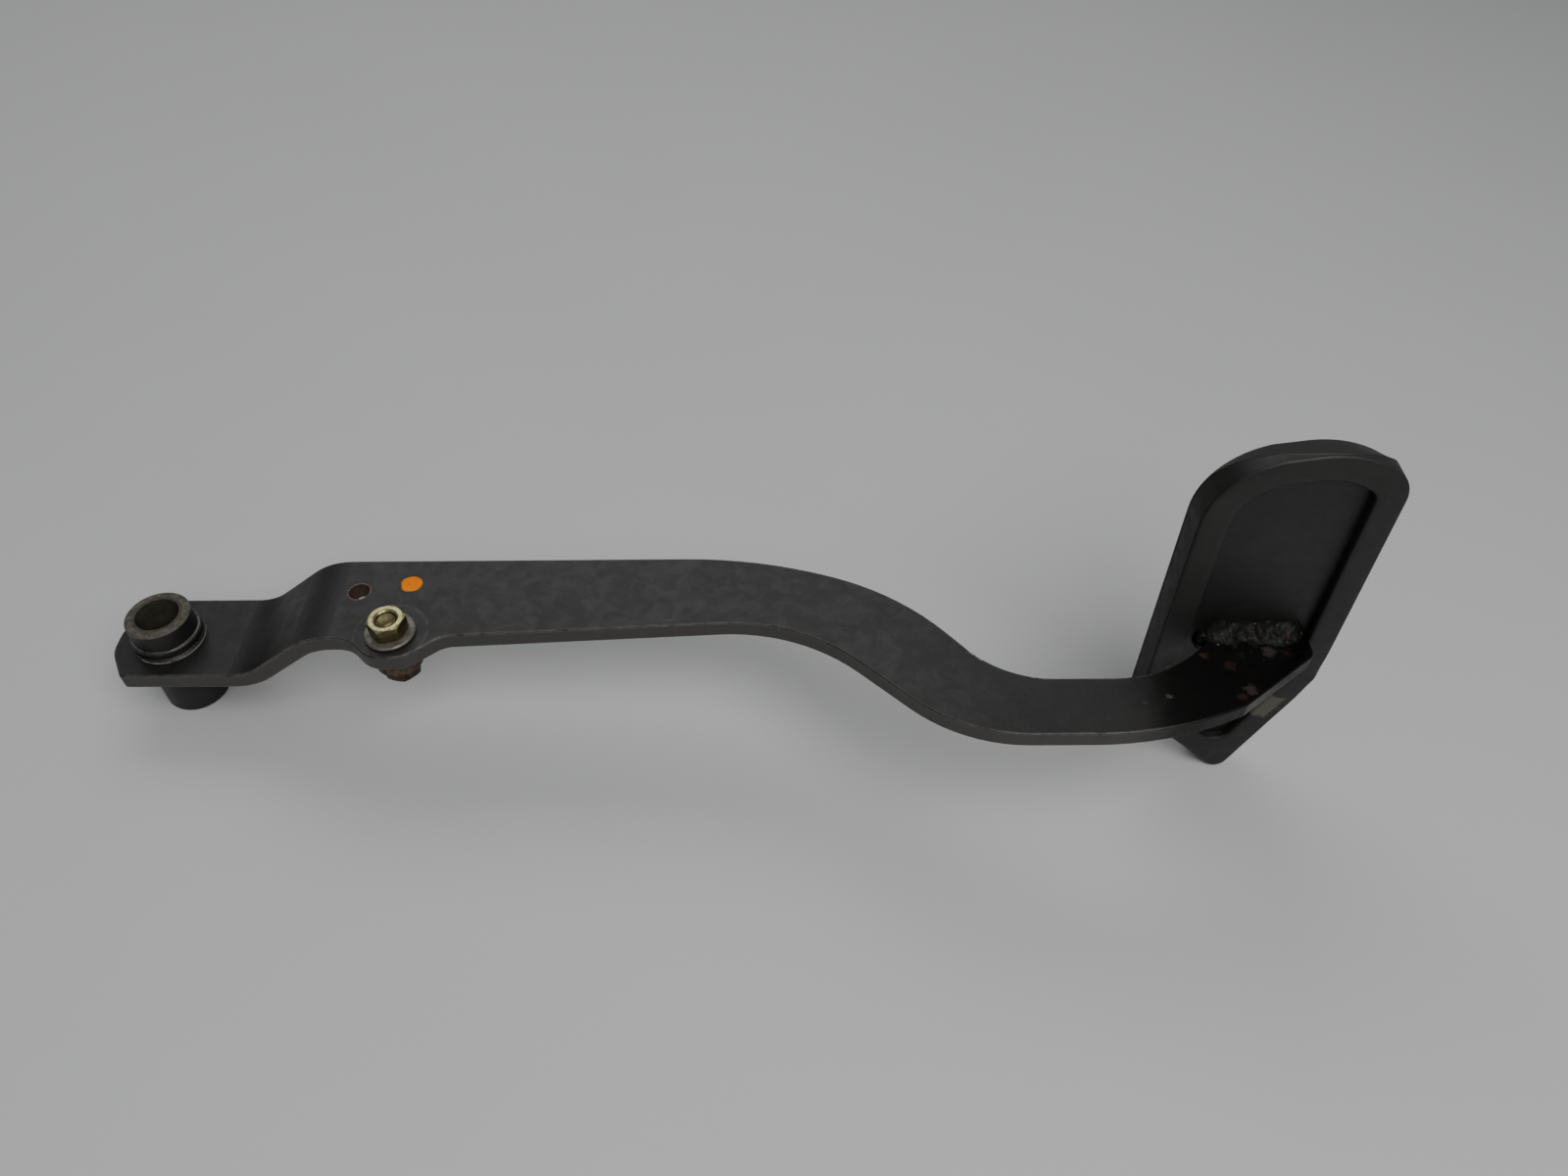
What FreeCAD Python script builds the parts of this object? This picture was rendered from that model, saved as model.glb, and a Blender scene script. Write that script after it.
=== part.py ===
"""Automatic-transmission brake pedal, cut from flat bar, with its hub, pushrod fastening and foot plate.

Frame: origin at the centre of the pivot bore, +Z along the pivot axis, +X along the arm towards the
foot plate, +Y towards the foot side. Millimetres.
"""
import FreeCAD, Part
import math
import os

import Sketcher

document = FreeCAD.newDocument("BrakePedal")
V = FreeCAD.Vector

# ---------------------------------------------------------------- driving dimensions

DIMENSIONS = {
    # pivot hub
    "hub_half_length": 23.0,
    "hub_outer_radius": 12.25,
    "hub_wall_radius": 9.5,
    "pivot_bore_radius": 8.25,
    "bush_length": 15.0,
    "collar_radius": 13.5,
    "collar_bottom": 10.7,
    "collar_height": 3.9,
    # flat bar
    "bar_thickness": 7.0,
    "hub_face_height": 9.0,
    "joggle_rise": 22.0,
    "joggle_start": 36.0,
    "joggle_end": 65.0,
    "bend_inner_radius": 20.0,
    "bar_edge_radius": 0.7,
    "blank_width": 400.0,
    "cut_start": -100.0,
    "cut_depth": 300.0,
    "edge_chamfer": 0.5,
    # pushrod fastening
    "link_x": 97.5,
    "link_y": -17.0,
    "shank_radius": 4.0,
    "shank_clearance": 0.1,
    "head_height": 5.3,
    "across_flats": 13.0,
    "nut_height": 6.5,
    "bolt_recess": 0.2,
    "washer_radius": 9.6,
    "washer_thickness": 1.6,
    "roller_radius": 9.0,
    "roller_bore_radius": 4.06,
    "roller_length": 8.6,
    "roller_end_play": 0.2,
    # return spring hole
    "spring_hole_x": 80.5,
    "spring_hole_y": 4.2,
    "spring_hole_radius": 4.0,
    # foot plate and rubber pad, along Y
    "plate_back": -18.0,
    "plate_thickness": 4.0,
    "pad_lip_thickness": 4.0,
    "pad_face_thickness": 6.0,
    "pad_wall": 3.0,
    "pad_lip_width": 10.5,
    "plate_gap": 0.2,
    "pad_end_draft": 3.3,
    "pad_edge_radius": 1.2,
    # welds
    "hub_weld_leg": 1.7,
    "plate_weld_leg": 6.5,
    "plate_weld_start": 405.5,
    "plate_weld_end": 437.0,
}

sheet = document.addObject("Spreadsheet::Sheet", "Dimensions")
for row, (alias, value) in enumerate(DIMENSIONS.items(), start=1):
    sheet.set("A%d" % row, alias)
    sheet.set("B%d" % row, str(value))
    sheet.setAlias("B%d" % row, alias)
document.recompute()


def size(alias):
    """Value of one driving dimension."""
    return float(sheet.get(alias))


def cell(expression):
    """Expression in which every driving dimension's name points at its cell."""
    for alias in sorted(DIMENSIONS, key=len, reverse=True):
        expression = expression.replace(alias, "Dimensions.#%s" % alias)
    return expression.replace("#", "")


# ---------------------------------------------------------------- derived levels along the pivot axis

BAR_FACE = size("hub_face_height") + size("joggle_rise")
BAR_BACK = BAR_FACE - size("bar_thickness")
HUB_FACE = size("hub_face_height")
HUB_BACK = HUB_FACE - size("bar_thickness")

BAR_FACE_LEVEL = "hub_face_height + joggle_rise"
BAR_BACK_LEVEL = "hub_face_height + joggle_rise - bar_thickness"
HEAD_TOP_LEVEL = BAR_BACK_LEVEL + " - roller_length - 2 * roller_end_play"
HEAD_TOP = BAR_BACK - size("roller_length") - 2 * size("roller_end_play")

# ---------------------------------------------------------------- helpers


def new_body(label):
    """Empty body whose label names the sub-part."""
    body = document.addObject("PartDesign::Body", label)
    body.Label = label
    return body


def origin_plane(body, role):
    return next(f for f in body.Origin.OriginFeatures if f.Role == role)


def new_sketch(body, name, role="XY_Plane", level="0"):
    """Sketch on one of the body's own origin planes, moved along the plane's normal."""
    sketch = body.newObject("Sketcher::SketchObject", name)
    sketch.AttachmentSupport = [(origin_plane(body, role), "")]
    sketch.MapMode = "FlatFace"
    sketch.setExpression("AttachmentOffset.Base.z", cell(level))
    return sketch


def add_circle(sketch, radius, centre_x=None, centre_y=None):
    """Circle with its radius, and its centre when it isn't on the origin, bound to the cells."""
    start = V(0, 0, 0) if centre_x is None else V(size(centre_x), size(centre_y), 0)
    circle = sketch.addGeometry(Part.Circle(start, V(0, 0, 1), 1.0), False)
    constraint = sketch.addConstraint(Sketcher.Constraint("Radius", circle, 1.0))
    sketch.setExpression("Constraints[%d]" % constraint, cell(radius))
    if centre_x is None:
        sketch.addConstraint(Sketcher.Constraint("Coincident", circle, 3, -1, 1))
        return
    for kind, alias in (("DistanceX", centre_x), ("DistanceY", centre_y)):
        constraint = sketch.addConstraint(Sketcher.Constraint(kind, -1, 1, circle, 3, size(alias)))
        sketch.setExpression("Constraints[%d]" % constraint, cell(alias))


def loop_geometry(corners):
    """Lines and tangent arcs of a closed outline given as (x, y, corner radius)."""
    count = len(corners)
    starts, ends, arcs = [], [], []
    for index, (x, y, radius) in enumerate(corners):
        here = V(x, y, 0)
        before = V(*corners[index - 1][:2], 0) - here
        after = V(*corners[(index + 1) % count][:2], 0) - here
        before.normalize()
        after.normalize()
        half_angle = before.getAngle(after) / 2
        reach = radius / math.tan(half_angle)
        bisector = (before + after).normalize()
        centre = here + bisector * (radius / math.sin(half_angle))
        middle = centre - bisector * radius
        starts.append(here + before * reach)
        ends.append(here + after * reach)
        arcs.append(middle if radius > 0 else None)
    geometry = []
    for index in range(count):
        if arcs[index] is not None:
            geometry.append(Part.Arc(starts[index], arcs[index], ends[index]))
        geometry.append(Part.LineSegment(ends[index], starts[(index + 1) % count]))
    return geometry


def add_loop(sketch, corners):
    """Closed outline held in place in the sketch."""
    for number in sketch.addGeometry(loop_geometry(corners), False):
        sketch.addConstraint(Sketcher.Constraint("Block", number))


def pad(body, sketch, length, reversed_side=False):
    feature = body.newObject("PartDesign::Pad", sketch.Name + "Pad")
    feature.Profile = sketch
    feature.Reversed = reversed_side
    feature.setExpression("Length", cell(length))
    return feature


def pocket(body, sketch, length, reversed_side=False):
    """Pocket that has to remove material."""
    document.recompute()
    volume = body.Shape.Volume
    feature = body.newObject("PartDesign::Pocket", sketch.Name + "Pocket")
    feature.Profile = sketch
    feature.Reversed = reversed_side
    feature.setExpression("Length", cell(length))
    document.recompute()
    if body.Shape.Volume > volume - 1.0:
        raise RuntimeError("%s cuts nothing" % feature.Name)
    return feature


def loft(body, first, second):
    """Straight-sided solid between two outlines with the same corners."""
    feature = body.newObject("PartDesign::AdditiveLoft", first.Name + "Loft")
    feature.Profile = first
    feature.Sections = [second]
    feature.Ruled = True
    return feature


def revolve(body, sketch):
    """Full turn of a profile in the XZ plane about the pivot direction."""
    feature = body.newObject("PartDesign::Revolution", sketch.Name + "Revolution")
    feature.Profile = sketch
    feature.ReferenceAxis = (sketch, ["V_Axis"])
    feature.Angle = 360
    return feature


def dress(body, kind, amount, chosen):
    """Fillet or chamfer on the edges of the tip that the test picks."""
    document.recompute()
    tip = body.Tip
    names = ["Edge%d" % (i + 1) for i, edge in enumerate(tip.Shape.Edges) if chosen(edge)]
    feature = body.newObject("PartDesign::" + kind, tip.Name + kind)
    feature.Base = (tip, names)
    feature.setExpression("Radius" if kind == "Fillet" else "Size", cell(amount))
    return feature


def at_level(edge, *levels):
    """True for an edge that lies flat at one of the levels."""
    box = edge.BoundBox
    return any(abs(box.ZMin - z) < 0.01 and abs(box.ZMax - z) < 0.01 for z in levels)


def in_layer(edge, *layers):
    """True for an edge that lies in one of the planes across Y."""
    box = edge.BoundBox
    return any(abs(box.YMin - y) < 0.01 and abs(box.YMax - y) < 0.01 for y in layers)


def ring(label, inner, outer, bottom, height, centre_x=None, centre_y=None):
    """Plain ring between two radii, about the pivot axis or another axis parallel to it."""
    body = new_body(label)
    sketch = new_sketch(body, label + "_section", level=bottom)
    add_circle(sketch, outer, centre_x, centre_y)
    add_circle(sketch, inner, centre_x, centre_y)
    pad(body, sketch, height)
    return body


def soften_rims(body, radius):
    """Small chamfer on the outer rim of both ends of a ring."""
    def is_rim(edge):
        return edge.isClosed() and abs(edge.Curve.Radius - radius) < 0.01

    dress(body, "Chamfer", "edge_chamfer", is_rim)


def hexagon(across_flats, turn):
    """Corners of a hexagon about the pushrod axis."""
    corner = across_flats / math.sqrt(3)
    angles = [math.radians(turn + 60 * k) for k in range(6)]
    return [(size("link_x") + corner * math.cos(a), size("link_y") + corner * math.sin(a), 0)
            for a in angles]


# ---------------------------------------------------------------- the flat bar

# Outline seen along the pivot axis, counter-clockwise from the top left of the hub end:
# x, y and corner radius.
BAR_OUTLINE = [
    (-20.5, 20.6, 20.0),    # rounded hub end
    (-20.5, -7.0, 14.0),
    (-13.0, -19.7, 2.0),    # cropped lower corner of the hub end
    (82.0, -19.7, 12.0),    # ear for the pushrod bolt
    (91.0, -29.4, 12.0),
    (104.0, -29.4, 12.0),
    (117.0, -18.8, 10.0),
    (251.0, -11.4, 70.0),   # the S bend, concave side first
    (308.0, -65.2, 60.0),
    (381.0, -65.2, 130.0),
    (409.5, -52.8, 3.0),    # sloping tip under the foot plate
    (440.0, -30.0, 4.0),
    (440.0, -18.0, 0.0),    # seat against the foot plate
    (406.3, -18.0, 0.0),
    (387.6, -40.2, 50.0),
    (324.8, -40.2, 40.0),
    (289.0, 2.4, 97.0),
    (235.2, 21.6, 168.0),
]
BLANK_LEFT = -60.0
BLANK_RIGHT = 480.0
BLANK_MARGIN = 20.0
SEAT_START = 400.0          # the seat against the foot plate lies beyond this x
LEAST_BAR_WIDTH = 30.0


def side_profile():
    """Section of the joggled bar along its length: x, z and bend radius."""
    thickness = size("bar_thickness")
    start, end = size("joggle_start"), size("joggle_end")
    slope = math.atan2(size("joggle_rise"), end - start)
    shift = thickness * math.tan(slope / 2)
    inner = size("bend_inner_radius")
    outer = inner + thickness
    return [
        (BLANK_LEFT, HUB_BACK, 0),
        (start + shift, HUB_BACK, outer),
        (end + shift, BAR_BACK, inner),
        (BLANK_RIGHT, BAR_BACK, 0),
        (BLANK_RIGHT, BAR_FACE, 0),
        (end, BAR_FACE, outer),
        (start, HUB_FACE, inner),
        (BLANK_LEFT, HUB_FACE, 0),
    ]


def build_arm():
    body = new_body("pedal_arm")
    strip = new_sketch(body, "strip_profile", "XZ_Plane")
    add_loop(strip, side_profile())
    blank = pad(body, strip, "blank_width")
    blank.Midplane = True

    trim = new_sketch(body, "trim_outline", level="cut_start")
    left, right = BLANK_LEFT - BLANK_MARGIN, BLANK_RIGHT + BLANK_MARGIN
    side = size("blank_width") / 2 + BLANK_MARGIN
    add_loop(trim, [(left, -side, 0), (right, -side, 0), (right, side, 0), (left, side, 0)])
    add_loop(trim, BAR_OUTLINE)
    pocket(body, trim, "cut_depth", reversed_side=True)

    holes = new_sketch(body, "bar_holes", level="cut_start")
    add_circle(holes, "hub_outer_radius")
    add_circle(holes, "shank_radius + shank_clearance", "link_x", "link_y")
    add_circle(holes, "spring_hole_radius", "spring_hole_x", "spring_hole_y")
    pocket(body, holes, "cut_depth", reversed_side=True)
    dress(body, "Fillet", "bar_edge_radius", is_outline_edge)


def is_outline_edge(edge):
    """True for the edges round the bar's faces, away from its holes and its welded seat."""
    box = edge.BoundBox
    along_pivot = box.XLength < 0.01 and box.YLength < 0.01
    across_bend = box.XLength < 0.01 and box.ZLength < 0.01 and box.YLength > LEAST_BAR_WIDTH
    on_seat = box.YMin > size("plate_back") - 0.01 and box.XMin > SEAT_START
    return not (along_pivot or across_bend or on_seat or edge.isClosed())


# ---------------------------------------------------------------- the pivot hub

# A fillet weld's rounded crown: its distance from each leg's root, as shares of the leg, and
# its rounding.
HUB_WELD_CROWN = (0.55, 0.62, 1.0)
PLATE_WELD_CROWN = (0.5, 0.6, 3.0)


def weld_about_hub(label, face, direction):
    """Fillet weld between the hub tube and one face of the bar."""
    body = new_body(label)
    sketch = new_sketch(body, label + "_section", "XZ_Plane")
    radius, leg = size("hub_outer_radius"), size("hub_weld_leg")
    out, up, rounding = HUB_WELD_CROWN
    add_loop(sketch, [(radius, face, 0), (radius + leg, face, 0),
                      (radius + leg * out, face + direction * leg * up, rounding),
                      (radius, face + direction * leg, 0)])
    revolve(body, sketch)


def build_hub():
    tube = ring("pivot_tube", "hub_wall_radius", "hub_outer_radius", "-hub_half_length",
                "2 * hub_half_length")
    soften_rims(tube, size("hub_outer_radius"))
    ring("pivot_bush_upper", "pivot_bore_radius", "hub_wall_radius",
         "hub_half_length - bush_length", "bush_length")
    ring("pivot_bush_lower", "pivot_bore_radius", "hub_wall_radius", "-hub_half_length",
         "bush_length")
    collar = ring("pivot_collar", "hub_outer_radius", "collar_radius", "collar_bottom",
                  "collar_height")
    soften_rims(collar, size("collar_radius"))
    weld_about_hub("hub_weld_upper", HUB_FACE, 1)
    weld_about_hub("hub_weld_lower", HUB_BACK, -1)


# ---------------------------------------------------------------- the pushrod fastening

NUT_TURN = 47.0
HEAD_TURN = 15.0
# The bevel's inner edge, outer edge and drop, as shares of half the width across flats.
BEVEL_INNER = 0.97
BEVEL_OUTER = 1.3
BEVEL_DROP = 0.2


def bevel_corners(body, name, level, direction):
    """Bevel that turning leaves on a hexagon's corners, at one end of it."""
    sketch = new_sketch(body, name, "XZ_Plane", "-link_y")
    x, flat = size("link_x"), size("across_flats") / 2
    inside, outside, drop = x + flat * BEVEL_INNER, x + flat * BEVEL_OUTER, flat * BEVEL_DROP
    add_loop(sketch, [(inside, level, 0), (outside, level - direction * drop, 0),
                      (outside, level + direction * drop, 0), (inside, level + direction * drop, 0)])
    sketch.addGeometry(Part.LineSegment(V(x, level - 1, 0), V(x, level + 1, 0)), True)
    document.recompute()
    groove = body.newObject("PartDesign::Groove", name + "Groove")
    groove.Profile = sketch
    groove.ReferenceAxis = (sketch, ["Axis0"])
    groove.Angle = 360


def build_bolt():
    body = new_body("link_bolt")
    head = new_sketch(body, "bolt_head", level=HEAD_TOP_LEVEL + " - head_height")
    add_loop(head, hexagon(size("across_flats"), HEAD_TURN))
    pad(body, head, "head_height")
    shank = new_sketch(body, "bolt_shank", level=HEAD_TOP_LEVEL)
    add_circle(shank, "shank_radius", "link_x", "link_y")
    pad(body, shank, "roller_length + 2 * roller_end_play + bar_thickness"
                     " + washer_thickness + nut_height - bolt_recess")
    tip_level = BAR_FACE + size("washer_thickness") + size("nut_height") - size("bolt_recess")
    dress(body, "Chamfer", "edge_chamfer", lambda edge: at_level(edge, tip_level))
    bevel_corners(body, "head_bevel", HEAD_TOP - size("head_height"), -1)


def build_nut():
    body = new_body("lock_nut")
    level = BAR_FACE_LEVEL + " + washer_thickness"
    section = new_sketch(body, "nut_section", level=level)
    add_loop(section, hexagon(size("across_flats"), NUT_TURN))
    add_circle(section, "shank_radius", "link_x", "link_y")
    pad(body, section, "nut_height")
    bottom = BAR_FACE + size("washer_thickness")
    bevel_corners(body, "nut_top_bevel", bottom + size("nut_height"), 1)
    bevel_corners(body, "nut_bottom_bevel", bottom, -1)


def build_link():
    build_bolt()
    roller = ring("link_roller", "roller_bore_radius", "roller_radius",
                  BAR_BACK_LEVEL + " - roller_length - roller_end_play", "roller_length",
                  "link_x", "link_y")
    soften_rims(roller, size("roller_radius"))
    washer = ring("link_washer", "shank_radius + shank_clearance", "washer_radius", BAR_FACE_LEVEL,
                  "washer_thickness", "link_x", "link_y")
    soften_rims(washer, size("washer_radius"))
    build_nut()


# ---------------------------------------------------------------- the foot plate and its rubber pad

# Outline seen from the foot plate's back, x and z, with corner radii: a rounded end, and at the
# other end a long slant and a narrow nose.
PAD_OUTLINE = [
    (385.0, 110.0, 29.0),
    (406.3, 117.3, 9.0),
    (431.4, 121.1, 37.0),
    (451.0, 107.6, 15.3),
    (451.0, 6.0, 8.0),
    (427.8, -54.8, 5.0),
    (385.0, -15.5, 12.0),
]
ROUND_END = 100.0           # corners higher than this belong to the rounded end
OPENING_RADIUS = 6.0        # least corner radius of the opening in the lip


def drafted(corners, drop):
    """The same outline with its rounded end lower, as the mould's draft leaves the foot side."""
    return [(x, y - drop if y > ROUND_END else y, radius) for x, y, radius in corners]


def inset(corners, distance, least_radius=2.0):
    """The same convex outline, moved inwards by a distance."""
    moved = []
    count = len(corners)
    for index, (x, y, radius) in enumerate(corners):
        here = V(x, y, 0)
        before = (here - V(*corners[index - 1][:2], 0)).normalize()
        after = (V(*corners[(index + 1) % count][:2], 0) - here).normalize()
        inward = V(before.y, -before.x, 0) + V(after.y, -after.x, 0)
        inward.normalize()
        half_angle = before.getAngle(after) / 2
        corner = here + inward * (distance / math.cos(half_angle))
        moved.append((corner.x, corner.y, max(radius - distance, least_radius)))
    return moved


def build_pad():
    """Moulded rubber with a lip that holds it on the steel plate."""
    body = new_body("pedal_pad")
    lip_side = new_sketch(body, "pad_lip_side", "XZ_Plane", "pad_lip_thickness - plate_back")
    add_loop(lip_side, PAD_OUTLINE)
    foot_side = new_sketch(body, "pad_foot_side", "XZ_Plane",
                           "-plate_back - plate_thickness - pad_face_thickness")
    add_loop(foot_side, drafted(PAD_OUTLINE, size("pad_end_draft")))
    loft(body, lip_side, foot_side)
    opening = new_sketch(body, "pad_opening", "XZ_Plane", "pad_lip_thickness - plate_back")
    add_loop(opening, inset(PAD_OUTLINE, size("pad_lip_width"), OPENING_RADIUS))
    pocket(body, opening, "pad_lip_thickness")
    slot = new_sketch(body, "pad_slot", "XZ_Plane", "-plate_back")
    add_loop(slot, inset(PAD_OUTLINE, size("pad_wall")))
    pocket(body, slot, "plate_thickness")
    back = size("plate_back") - size("pad_lip_thickness")
    front = size("plate_back") + size("plate_thickness") + size("pad_face_thickness")
    dress(body, "Fillet", "pad_edge_radius", lambda edge: in_layer(edge, back, front))


def build_plate():
    body = new_body("pedal_plate")
    outline = new_sketch(body, "plate_outline", "XZ_Plane", "-plate_back")
    add_loop(outline, inset(PAD_OUTLINE, size("pad_wall") + size("plate_gap")))
    pad(body, outline, "plate_thickness", reversed_side=True)


def weld_across_plate(label, face, direction):
    """Fillet weld between one face of the bar and the back of the foot plate."""
    body = new_body(label)
    sketch = new_sketch(body, label + "_section", "YZ_Plane", "plate_weld_start")
    back, leg = size("plate_back"), size("plate_weld_leg")
    out, up, rounding = PLATE_WELD_CROWN
    add_loop(sketch, [(back, face, 0), (back - leg, face, 0),
                      (back - leg * out, face + direction * leg * up, rounding),
                      (back, face + direction * leg, 0)])
    pad(body, sketch, "plate_weld_end - plate_weld_start")


# Distances from the foot plate's back, with x and corner radius.
THROAT_OUTLINE = [
    (406.0, 0.0, 0.0),
    (400.5, 0.0, 0.0),
    (400.6, 3.6, 2.0),
    (402.9, 4.03, 0.0),
]


def weld_in_throat():
    """Short weld that fills the sharp corner between the bar's curved edge and the plate."""
    body = new_body("plate_weld_throat")
    sketch = new_sketch(body, "throat_section", level=BAR_BACK_LEVEL)
    back = size("plate_back")
    add_loop(sketch, [(x, back - distance, radius) for x, distance, radius in THROAT_OUTLINE])
    pad(body, sketch, "bar_thickness")
    return body


def build_foot():
    build_plate()
    build_pad()
    weld_across_plate("plate_weld_upper", BAR_FACE, 1)
    weld_across_plate("plate_weld_lower", BAR_BACK, -1)
    weld_in_throat()


# ---------------------------------------------------------------- build, check and write

build_arm()
build_hub()
build_link()
build_foot()
document.recompute()

for item in document.Objects:
    if "Invalid" in item.State or "Error" in item.State:
        raise RuntimeError("%s failed: %s" % (item.Name, item.State))

os.makedirs("parts", exist_ok=True)
for body in document.findObjects("PartDesign::Body"):
    shape = body.Shape
    if shape.isNull() or not shape.isValid() or len(shape.Solids) != 1:
        raise RuntimeError("%s is not one valid solid" % body.Label)
    shape.exportStep("parts/%s.step" % body.Label)
    box = shape.BoundBox
    print("%-18s volume %9.0f  x %.1f..%.1f  y %.1f..%.1f  z %.1f..%.1f" % (
        body.Label, shape.Volume, box.XMin, box.XMax, box.YMin, box.YMax, box.ZMin, box.ZMax))
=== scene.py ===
"""Looks for the brake pedal: materials, detailed pieces, floor, light and camera.

The frame, the materials and the stage are in metres. The mesh functions work in millimetres
and multiply by MM at the end.
"""
import bmesh
import bpy
import math
import random
from mathutils import Matrix, Vector, noise

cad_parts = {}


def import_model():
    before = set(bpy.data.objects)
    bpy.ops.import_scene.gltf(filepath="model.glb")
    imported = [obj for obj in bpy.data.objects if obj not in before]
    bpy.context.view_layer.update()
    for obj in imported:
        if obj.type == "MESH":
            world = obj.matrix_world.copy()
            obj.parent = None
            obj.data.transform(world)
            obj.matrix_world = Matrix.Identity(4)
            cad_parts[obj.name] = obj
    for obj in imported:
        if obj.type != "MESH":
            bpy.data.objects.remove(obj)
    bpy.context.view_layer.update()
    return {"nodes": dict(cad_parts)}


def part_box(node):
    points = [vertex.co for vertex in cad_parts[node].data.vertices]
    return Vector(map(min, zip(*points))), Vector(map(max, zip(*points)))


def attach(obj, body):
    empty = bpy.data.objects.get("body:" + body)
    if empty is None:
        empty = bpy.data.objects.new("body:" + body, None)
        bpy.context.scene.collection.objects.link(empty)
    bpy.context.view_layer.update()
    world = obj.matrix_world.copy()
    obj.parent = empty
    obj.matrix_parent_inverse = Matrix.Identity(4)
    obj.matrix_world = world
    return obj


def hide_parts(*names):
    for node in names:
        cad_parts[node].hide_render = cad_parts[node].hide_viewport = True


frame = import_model()
MM = 0.001

# ---------------------------------------------------------------- places taken from the frame

TUBE_LOW, TUBE_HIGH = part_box("pivot_tube")
PAD_LOW, PAD_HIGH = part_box("pedal_pad")
PLATE_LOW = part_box("pedal_plate")[0]
WASHER_LOW, WASHER_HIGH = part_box("link_washer")
NUT_LOW, NUT_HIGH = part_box("lock_nut")
BOLT_LOW, BOLT_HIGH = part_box("link_bolt")
UPPER_WELD_LOW, UPPER_WELD_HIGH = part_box("plate_weld_upper")
LOWER_WELD_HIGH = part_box("plate_weld_lower")[1]
THROAT_LOW, THROAT_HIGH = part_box("plate_weld_throat")
BAR_FACE = WASHER_LOW[2]
LINK = ((WASHER_LOW[0] + WASHER_HIGH[0]) / 2, (WASHER_LOW[1] + WASHER_HIGH[1]) / 2)
# The return spring's hole, the paint dot and the middle of the welds, on the bar.
SPRING_HOLE = (0.0805, 0.0042)
DOT = (LINK[0] + 2.5 * MM, LINK[1] + 25.2 * MM)
WELD_CENTRE = (0.421, -0.022, 0.031)


# ---------------------------------------------------------------- node helpers

def rgb(red, green, blue):
    return (red, green, blue, 1.0)


def new_material(name):
    """Node material, its tree, its shader and the object's own coordinates."""
    material = bpy.data.materials.new(name)
    material.use_nodes = True
    tree = material.node_tree
    shader = tree.nodes["Principled BSDF"]
    place = tree.nodes.new("ShaderNodeTexCoord").outputs["Object"]
    return material, tree, shader, place


def plug(tree, socket, value):
    """Link a socket, or set a plain value on it."""
    if isinstance(value, bpy.types.NodeSocket):
        tree.links.new(value, socket)
    else:
        socket.default_value = value


def add(tree, kind, inputs=None, **settings):
    """Node with its settings, and its inputs linked or set."""
    made = tree.nodes.new(kind)
    for name, value in settings.items():
        setattr(made, name, value)
    for name, value in (inputs or {}).items():
        plug(tree, made.inputs[name], value)
    return made


def cloud(tree, place, scale, detail=4.0, roughness=0.55, distortion=0.0):
    """Fractal noise, its scale in features per metre."""
    made = add(tree, "ShaderNodeTexNoise", {
        "Vector": place, "Scale": scale, "Detail": detail,
        "Roughness": roughness, "Distortion": distortion})
    return made.outputs["Fac"]


def ramp(tree, value, low, high, start=0.0, end=1.0):
    """Value mapped smoothly from low..high to start..end."""
    made = add(tree, "ShaderNodeMapRange", {
        "Value": value, "From Min": low, "From Max": high, "To Min": start, "To Max": end},
        interpolation_type="SMOOTHSTEP")
    return made.outputs["Result"]


def combine(tree, operation, first, second=0.0):
    """Result of a math node."""
    made = add(tree, "ShaderNodeMath", operation=operation)
    plug(tree, made.inputs[0], first)
    plug(tree, made.inputs[1], second)
    return made.outputs[0]


def times(tree, first, second):
    return combine(tree, "MULTIPLY", first, second)


def magnitude(tree, value):
    return combine(tree, "ABSOLUTE", value)


def uneven(tree, value, grain, amount):
    """Value shifted by noise, so that the rim of a mark is ragged."""
    return combine(tree, "ADD", value, times(tree, grain, amount))


def vector_math(tree, operation, first, second):
    """Vector math node with both inputs linked or set."""
    made = add(tree, "ShaderNodeVectorMath", operation=operation)
    plug(tree, made.inputs[0], first)
    plug(tree, made.inputs[1], second)
    return made


def blend(tree, factor, first, second):
    """Two colours mixed by a factor."""
    made = add(tree, "ShaderNodeMix", data_type="RGBA")
    for number, value in ((0, factor), (6, first), (7, second)):
        plug(tree, made.inputs[number], value)
    return made.outputs[2]


def layered(tree, tone, layers):
    """Colour with further colours laid over it in turn, each through its own mask."""
    for mask, colour in layers:
        tone = blend(tree, mask, tone, colour)
    return tone


def bump(tree, height, strength, distance, normal=None):
    """Normal tilted by a height, over another bump when one is given."""
    inputs = {"Height": height, "Strength": strength, "Distance": distance}
    if normal is not None:
        inputs["Normal"] = normal
    return add(tree, "ShaderNodeBump", inputs).outputs["Normal"]


def surface_normal(tree):
    return tree.nodes.new("ShaderNodeNewGeometry").outputs["Normal"]


def edge_mask(tree, radius, low, high):
    """One on edges sharper than the radius, and zero on open faces."""
    rounded = add(tree, "ShaderNodeBevel", {"Radius": radius}, samples=6).outputs["Normal"]
    likeness = vector_math(tree, "DOT_PRODUCT", rounded, surface_normal(tree)).outputs["Value"]
    return ramp(tree, likeness, high, low)


def axis_value(tree, place, axis):
    return add(tree, "ShaderNodeSeparateXYZ", {"Vector": place}).outputs[axis]


def upright_mask(tree, level, upright):
    """One on faces that stand along Z, and zero on those that look along it."""
    facing = magnitude(tree, axis_value(tree, surface_normal(tree), "Z"))
    return ramp(tree, facing, level, upright)


def distance_to(tree, place, centre, flat=False):
    """Distance from a point, or from the line through it along Z."""
    if flat:
        place = vector_math(tree, "MULTIPLY", place, (1, 1, 0)).outputs["Vector"]
        centre = (centre[0], centre[1], 0)
    return vector_math(tree, "DISTANCE", place, centre).outputs["Value"]


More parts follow.
